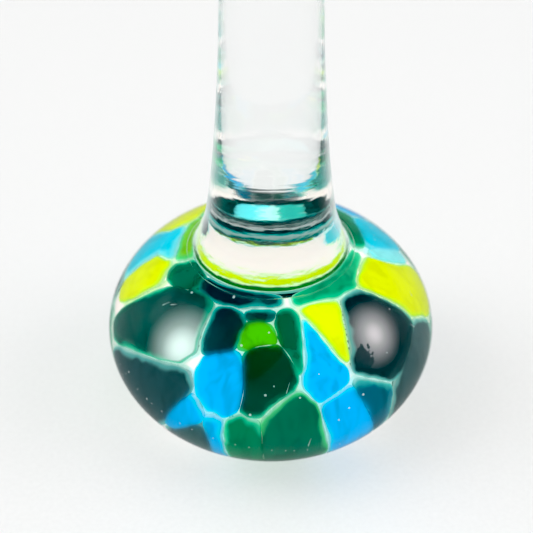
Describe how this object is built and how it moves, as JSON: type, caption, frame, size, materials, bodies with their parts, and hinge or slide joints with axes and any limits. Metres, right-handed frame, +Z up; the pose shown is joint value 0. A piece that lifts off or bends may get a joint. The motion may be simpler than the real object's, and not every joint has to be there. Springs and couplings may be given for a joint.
{
  "type": "glass bud vase",
  "caption": "Bud vase of blown glass: squat base with coloured glass shards cased in clear glass, and a slender clear neck with a bore and a flared lip.",
  "frame": {"origin": "centre of the flat foot, on the surface it stands on", "axes": "+Z up along the neck; -Y is the front, +X the right side seen from the front"},
  "size_m": [0.078, 0.078, 0.2026],
  "materials": {
    "clear_glass": "fire polished clear glass",
    "green_glass": "coloured glass, cased under clear glass",
    "dark_green_glass": "coloured glass, cased under clear glass",
    "navy_glass": "coloured glass, cased under clear glass",
    "emerald_glass": "coloured glass, cased under clear glass",
    "lime_glass": "coloured glass, cased under clear glass",
    "cyan_glass": "coloured glass, cased under clear glass",
    "blue_glass": "coloured glass, cased under clear glass",
    "charcoal_glass": "coloured glass, cased under clear glass",
    "teal_glass": "coloured glass, cased under clear glass",
    "slate_glass": "coloured glass, cased under clear glass"
  },
  "bodies": {
    "root": {"neck_tube": "clear_glass", "base_core": "clear_glass", "base_casing": "clear_glass", "crest_shard_green_strip": "green_glass", "crest_shard_green_left": "dark_green_glass", "crest_shard_navy_front": "navy_glass", "crest_shard_green_right": "emerald_glass", "crest_shard_teal_right": "emerald_glass", "crest_shard_navy_back": "navy_glass", "crest_shard_emerald_back": "emerald_glass", "shoulder_shard_lime_back": "lime_glass", "shoulder_shard_cyan_left": "cyan_glass", "shoulder_shard_cyan_small": "cyan_glass", "shoulder_shard_yellow_left": "lime_glass", "shoulder_shard_silver_teal": "dark_green_glass", "shoulder_shard_navy_front": "navy_glass", "shoulder_shard_navy_sliver": "navy_glass", "shoulder_shard_green_window": "green_glass", "shoulder_shard_green_finger": "dark_green_glass", "shoulder_shard_blue_teardrop": "blue_glass", "shoulder_shard_lime_front": "lime_glass", "shoulder_shard_black_right": "charcoal_glass", "shoulder_shard_lime_right": "lime_glass", "shoulder_shard_pale_cyan": "cyan_glass", "shoulder_shard_cyan_right": "cyan_glass", "shoulder_shard_blue_back": "blue_glass", "shoulder_shard_navy_back": "navy_glass", "shoulder_shard_cyan_back": "cyan_glass", "belly_shard_charcoal_left": "charcoal_glass", "belly_shard_blue_left": "blue_glass", "belly_shard_blue_round": "blue_glass", "belly_shard_blue_stripe": "blue_glass", "belly_shard_deep_green": "dark_green_glass", "belly_shard_teal_right": "teal_glass", "belly_shard_slate_right": "slate_glass", "belly_shard_green_back_right": "dark_green_glass", "belly_shard_navy_back": "navy_glass", "belly_shard_cyan_back": "cyan_glass", "belly_shard_blue_back": "blue_glass", "belly_shard_slate_back_left": "slate_glass", "lower_shard_slate_front_left": "slate_glass", "lower_shard_emerald_front": "emerald_glass", "lower_shard_green_front": "green_glass", "lower_shard_blue_front_right": "blue_glass", "lower_shard_green_right": "dark_green_glass", "lower_shard_teal_back_right": "teal_glass", "lower_shard_charcoal_back": "charcoal_glass", "lower_shard_lime_back": "lime_glass", "lower_shard_green_back": "green_glass", "lower_shard_slate_back": "slate_glass", "lower_shard_navy_back_left": "navy_glass", "lower_shard_emerald_left": "emerald_glass", "foot_shard_teal_left": "teal_glass", "foot_shard_cyan_front": "cyan_glass", "foot_shard_cyan_right": "cyan_glass", "foot_shard_emerald_back": "emerald_glass"}
  },
  "joints": []
}
